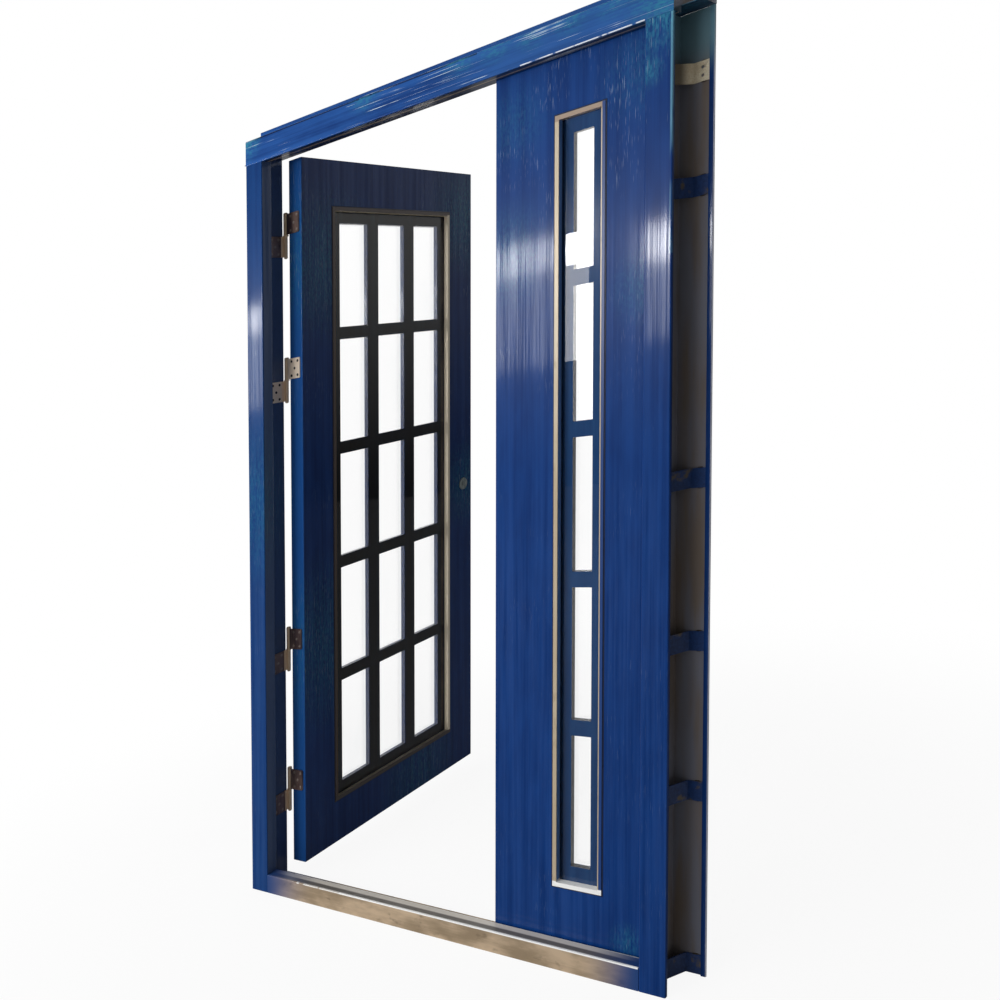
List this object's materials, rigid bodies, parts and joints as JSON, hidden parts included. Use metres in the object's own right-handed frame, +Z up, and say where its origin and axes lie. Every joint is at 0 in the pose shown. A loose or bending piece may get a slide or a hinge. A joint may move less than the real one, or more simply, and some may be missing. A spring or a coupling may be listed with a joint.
{
  "type": "unequal pair of glazed steel entrance doors in a frame",
  "caption": "Blue pressed-steel entrance door: a wide leaf with a barred window, a narrow leaf with a glazed strip, flag hinges, folded frame and bare sill.",
  "frame": {"origin": "on the underside of the sill, in the middle of the doorway and of the frame's depth", "axes": "+Z up, +X along the doorway towards the narrow leaf's jamb, +Y from the street side into the building"},
  "size_m": [1.374, 0.869, 2.147],
  "materials": {
    "frame_lacquer": "glossy blue lacquer",
    "main_leaf_lacquer": "glossy blue lacquer",
    "narrow_leaf_lacquer": "glossy blue lacquer",
    "strap_paint": "thin blue paint",
    "bare_strap_steel": "bare, dull",
    "bare_sill_steel": "bare, scuffed",
    "bright_steel_bead": "bright",
    "warm_hinge_steel": "satin",
    "lock_metal": "polished",
    "clear_glass": "clear"
  },
  "bodies": {
    "frame": {"head": "frame_lacquer", "left_jamb": "frame_lacquer", "left_jamb_hinge_1": "warm_hinge_steel", "left_jamb_hinge_2": "warm_hinge_steel", "left_jamb_hinge_3": "warm_hinge_steel", "left_jamb_hinge_4": "warm_hinge_steel", "left_strap_1": "strap_paint", "left_strap_2": "strap_paint", "left_strap_3": "strap_paint", "left_strap_4": "strap_paint", "left_strap_5": "strap_paint", "left_strap_6": "bare_strap_steel", "right_jamb": "frame_lacquer", "right_jamb_hinge_1": "warm_hinge_steel", "right_jamb_hinge_2": "warm_hinge_steel", "right_jamb_hinge_3": "warm_hinge_steel", "right_jamb_hinge_4": "warm_hinge_steel", "right_strap_1": "strap_paint", "right_strap_2": "strap_paint", "right_strap_3": "strap_paint", "right_strap_4": "strap_paint", "right_strap_5": "strap_paint", "right_strap_6": "bare_strap_steel", "sill": "bare_sill_steel"},
    "main_leaf": {"lock_cylinder": "lock_metal", "main_front_bead": "bright_steel_bead", "main_front_glass": "clear_glass", "main_grille": "main_leaf_lacquer", "main_leaf": "main_leaf_lacquer", "main_leaf_hinge_1": "warm_hinge_steel", "main_leaf_hinge_2": "warm_hinge_steel", "main_leaf_hinge_3": "warm_hinge_steel", "main_leaf_hinge_4": "warm_hinge_steel", "main_rear_bead": "bright_steel_bead", "main_rear_glass": "clear_glass"},
    "narrow_leaf": {"narrow_front_bead": "bright_steel_bead", "narrow_front_glass": "clear_glass", "narrow_grille": "narrow_leaf_lacquer", "narrow_leaf": "narrow_leaf_lacquer", "narrow_leaf_hinge_1": "warm_hinge_steel", "narrow_leaf_hinge_2": "warm_hinge_steel", "narrow_leaf_hinge_3": "warm_hinge_steel", "narrow_leaf_hinge_4": "warm_hinge_steel", "narrow_rear_bead": "bright_steel_bead", "narrow_rear_glass": "clear_glass"}
  },
  "joints": [
    {"name": "main_leaf_swing", "type": "hinge", "parent": "frame", "child": "main_leaf", "pos_m": [-0.598, 0.054, 1], "axis": [0, 0, 1], "range_deg": [-90, 80]},
    {"name": "narrow_leaf_swing", "type": "hinge", "parent": "frame", "child": "narrow_leaf", "pos_m": [0.598, 0.054, 1], "axis": [0, 0, -1], "range_deg": [0, 170]}
  ]
}
